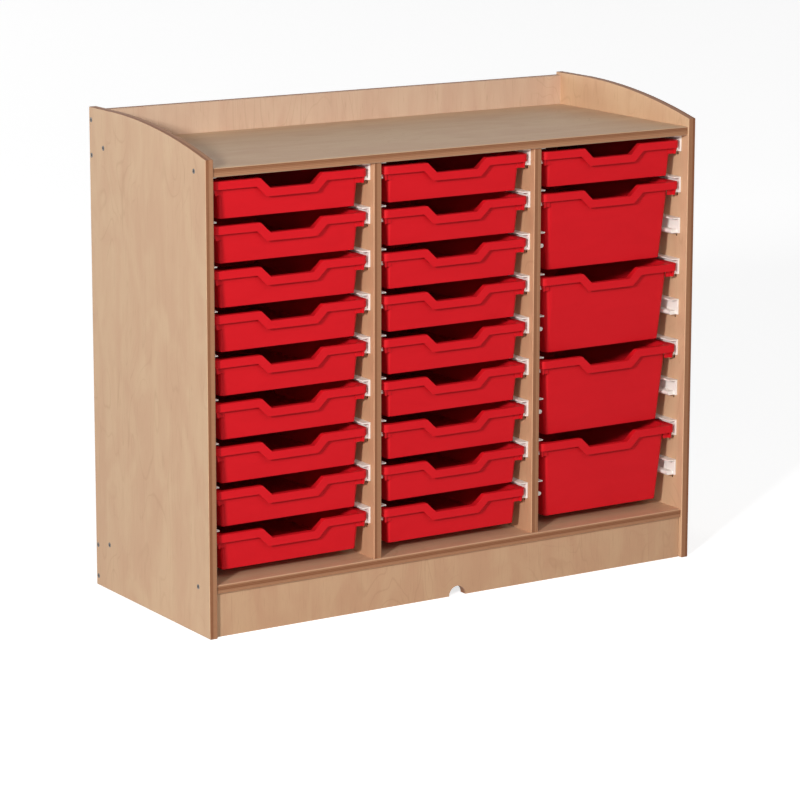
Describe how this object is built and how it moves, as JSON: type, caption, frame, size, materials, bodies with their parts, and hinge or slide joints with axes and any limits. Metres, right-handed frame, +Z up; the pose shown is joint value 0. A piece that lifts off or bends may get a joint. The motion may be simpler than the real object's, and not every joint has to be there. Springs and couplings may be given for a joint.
{
  "type": "modular drawer unit",
  "caption": "Low plywood storage unit with bays of moulded sliding trays, shallow and deep, under a worktop with raised, swept sides and a back board.",
  "frame": {"origin": "on the floor under the middle of the unit's bounding box", "axes": "+X to the right along the front, +Y from the front to the back, +Z up; the trays pull out towards -Y"},
  "size_m": [1.17, 0.48, 0.996],
  "materials": {
    "birch_ply": "clear satin lacquer on birch plywood",
    "thin_birch_ply": "clear satin lacquer on thin plywood",
    "runner_plastic": "moulded white plastic",
    "red_plastic": "moulded red plastic, satin",
    "screw_steel": "dark plated steel"
  },
  "bodies": {
    "carcass": {"left_side_panel": "birch_ply", "right_side_panel": "birch_ply", "top_panel": "birch_ply", "bottom_panel": "birch_ply", "left_divider": "birch_ply", "right_divider": "birch_ply", "rear_rail": "birch_ply", "gallery_board": "birch_ply", "back_panel": "thin_birch_ply", "front_plinth": "birch_ply", "left_bay_left_runners": "runner_plastic", "left_bay_right_runners": "runner_plastic", "middle_bay_left_runners": "runner_plastic", "middle_bay_right_runners": "runner_plastic", "right_bay_left_runners": "runner_plastic", "right_bay_right_runners": "runner_plastic", "left_screws": "screw_steel", "right_screws": "screw_steel"},
    "left_tray_1": {"left_tray_1": "red_plastic"},
    "left_tray_2": {"left_tray_2": "red_plastic"},
    "left_tray_3": {"left_tray_3": "red_plastic"},
    "left_tray_4": {"left_tray_4": "red_plastic"},
    "left_tray_5": {"left_tray_5": "red_plastic"},
    "left_tray_6": {"left_tray_6": "red_plastic"},
    "left_tray_7": {"left_tray_7": "red_plastic"},
    "left_tray_8": {"left_tray_8": "red_plastic"},
    "left_tray_9": {"left_tray_9": "red_plastic"},
    "middle_tray_1": {"middle_tray_1": "red_plastic"},
    "middle_tray_2": {"middle_tray_2": "red_plastic"},
    "middle_tray_3": {"middle_tray_3": "red_plastic"},
    "middle_tray_4": {"middle_tray_4": "red_plastic"},
    "middle_tray_5": {"middle_tray_5": "red_plastic"},
    "middle_tray_6": {"middle_tray_6": "red_plastic"},
    "middle_tray_7": {"middle_tray_7": "red_plastic"},
    "middle_tray_8": {"middle_tray_8": "red_plastic"},
    "middle_tray_9": {"middle_tray_9": "red_plastic"},
    "right_tray_1": {"right_tray_1": "red_plastic"},
    "right_tray_2": {"right_tray_2": "red_plastic"},
    "right_tray_3": {"right_tray_3": "red_plastic"},
    "right_tray_4": {"right_tray_4": "red_plastic"},
    "right_tray_5": {"right_tray_5": "red_plastic"}
  },
  "joints": [
    {"name": "left_tray_1_slide", "type": "slide", "parent": "carcass", "child": "left_tray_1", "axis": [0, -1, 0], "range_m": [0, 0.38]},
    {"name": "left_tray_2_slide", "type": "slide", "parent": "carcass", "child": "left_tray_2", "axis": [0, -1, 0], "range_m": [0, 0.38]},
    {"name": "left_tray_3_slide", "type": "slide", "parent": "carcass", "child": "left_tray_3", "axis": [0, -1, 0], "range_m": [0, 0.38]},
    {"name": "left_tray_4_slide", "type": "slide", "parent": "carcass", "child": "left_tray_4", "axis": [0, -1, 0], "range_m": [0, 0.38]},
    {"name": "left_tray_5_slide", "type": "slide", "parent": "carcass", "child": "left_tray_5", "axis": [0, -1, 0], "range_m": [0, 0.38]},
    {"name": "left_tray_6_slide", "type": "slide", "parent": "carcass", "child": "left_tray_6", "axis": [0, -1, 0], "range_m": [0, 0.38]},
    {"name": "left_tray_7_slide", "type": "slide", "parent": "carcass", "child": "left_tray_7", "axis": [0, -1, 0], "range_m": [0, 0.38]},
    {"name": "left_tray_8_slide", "type": "slide", "parent": "carcass", "child": "left_tray_8", "axis": [0, -1, 0], "range_m": [0, 0.38]},
    {"name": "left_tray_9_slide", "type": "slide", "parent": "carcass", "child": "left_tray_9", "axis": [0, -1, 0], "range_m": [0, 0.38]},
    {"name": "middle_tray_1_slide", "type": "slide", "parent": "carcass", "child": "middle_tray_1", "axis": [0, -1, 0], "range_m": [0, 0.38]},
    {"name": "middle_tray_2_slide", "type": "slide", "parent": "carcass", "child": "middle_tray_2", "axis": [0, -1, 0], "range_m": [0, 0.38]},
    {"name": "middle_tray_3_slide", "type": "slide", "parent": "carcass", "child": "middle_tray_3", "axis": [0, -1, 0], "range_m": [0, 0.38]},
    {"name": "middle_tray_4_slide", "type": "slide", "parent": "carcass", "child": "middle_tray_4", "axis": [0, -1, 0], "range_m": [0, 0.38]},
    {"name": "middle_tray_5_slide", "type": "slide", "parent": "carcass", "child": "middle_tray_5", "axis": [0, -1, 0], "range_m": [0, 0.38]},
    {"name": "middle_tray_6_slide", "type": "slide", "parent": "carcass", "child": "middle_tray_6", "axis": [0, -1, 0], "range_m": [0, 0.38]},
    {"name": "middle_tray_7_slide", "type": "slide", "parent": "carcass", "child": "middle_tray_7", "axis": [0, -1, 0], "range_m": [0, 0.38]},
    {"name": "middle_tray_8_slide", "type": "slide", "parent": "carcass", "child": "middle_tray_8", "axis": [0, -1, 0], "range_m": [0, 0.38]},
    {"name": "middle_tray_9_slide", "type": "slide", "parent": "carcass", "child": "middle_tray_9", "axis": [0, -1, 0], "range_m": [0, 0.38]},
    {"name": "right_tray_1_slide", "type": "slide", "parent": "carcass", "child": "right_tray_1", "axis": [0, -1, 0], "range_m": [0, 0.38]},
    {"name": "right_tray_2_slide", "type": "slide", "parent": "carcass", "child": "right_tray_2", "axis": [0, -1, 0], "range_m": [0, 0.38]},
    {"name": "right_tray_3_slide", "type": "slide", "parent": "carcass", "child": "right_tray_3", "axis": [0, -1, 0], "range_m": [0, 0.38]},
    {"name": "right_tray_4_slide", "type": "slide", "parent": "carcass", "child": "right_tray_4", "axis": [0, -1, 0], "range_m": [0, 0.38]},
    {"name": "right_tray_5_slide", "type": "slide", "parent": "carcass", "child": "right_tray_5", "axis": [0, -1, 0], "range_m": [0, 0.38]}
  ]
}
